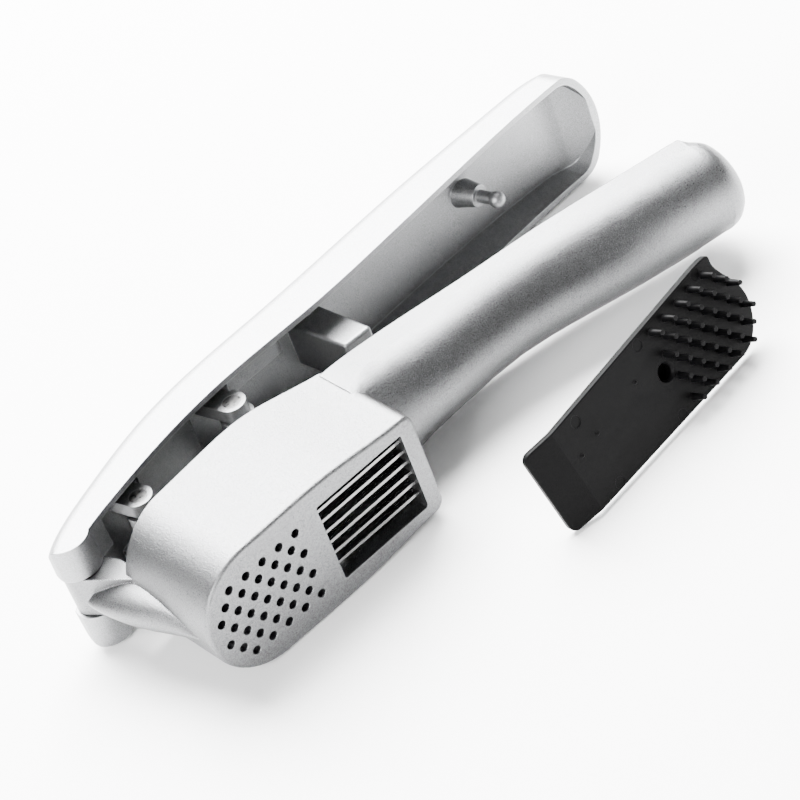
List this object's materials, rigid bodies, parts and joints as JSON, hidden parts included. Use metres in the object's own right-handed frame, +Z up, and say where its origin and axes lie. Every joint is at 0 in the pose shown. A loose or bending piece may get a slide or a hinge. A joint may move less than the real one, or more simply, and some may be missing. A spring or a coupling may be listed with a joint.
{
  "type": "garlic press",
  "caption": "Hand garlic press with a perforated press chamber, a bladed slicing window, two hinged pushers under a lever, and a separate pinned cleaning tool.",
  "frame": {"origin": "bottom centre of the bounding box, on the surface that the press and its tool rest on", "axes": "+X from the hinge towards the handle tips; +Y from the perforated face towards the lever; +Z up from the surface, along the hinge pin"},
  "size_m": [0.1904, 0.1012, 0.0343],
  "materials": {
    "cast_aluminium": "satin, fine blasted",
    "pusher_aluminium": "as cast",
    "pin_steel": "ground",
    "blade_steel": "ground",
    "black_plastic": "satin"
  },
  "bodies": {
    "press_body": {"press_body": "cast_aluminium", "slicer_blade_1": "blade_steel", "slicer_blade_2": "blade_steel", "slicer_blade_3": "blade_steel", "slicer_blade_4": "blade_steel", "slicer_blade_5": "blade_steel", "slicer_blade_6": "blade_steel"},
    "lever": {"lever": "cast_aluminium", "hinge_pin": "pin_steel", "plunger_pin": "pin_steel", "slicer_pusher_pin": "pin_steel"},
    "press_plunger": {"press_plunger": "pusher_aluminium"},
    "slicer_pusher": {"slicer_pusher": "pusher_aluminium"},
    "cleaning_tool": {"cleaning_tool": "black_plastic"}
  },
  "joints": [
    {"name": "lever_hinge", "type": "hinge", "parent": "press_body", "child": "lever", "pos_m": [-0.08972, 0.02638, 0.01714], "axis": [0, 0, 1], "range_deg": [-13, 32]},
    {"name": "plunger_pivot", "type": "hinge", "parent": "lever", "child": "press_plunger", "pos_m": [-0.06922, 0.02619, 0.01714], "axis": [0, 0, 1], "range_deg": [-28.8, 11.7]},
    {"name": "slicer_pivot", "type": "hinge", "parent": "lever", "child": "slicer_pusher", "pos_m": [-0.03571, 0.03054, 0.01714], "axis": [0, 0, 1], "range_deg": [-25.6, 10.4]},
    {"name": "tool_pickup", "type": "slide", "parent": "press_body", "child": "cleaning_tool", "axis": [0, -1, 0], "range_m": [0, 0.06]}
  ],
  "couplings": [
    {"joint": "plunger_pivot", "follows": "lever_hinge", "ratio": -0.9},
    {"joint": "slicer_pivot", "follows": "lever_hinge", "ratio": -0.8}
  ]
}
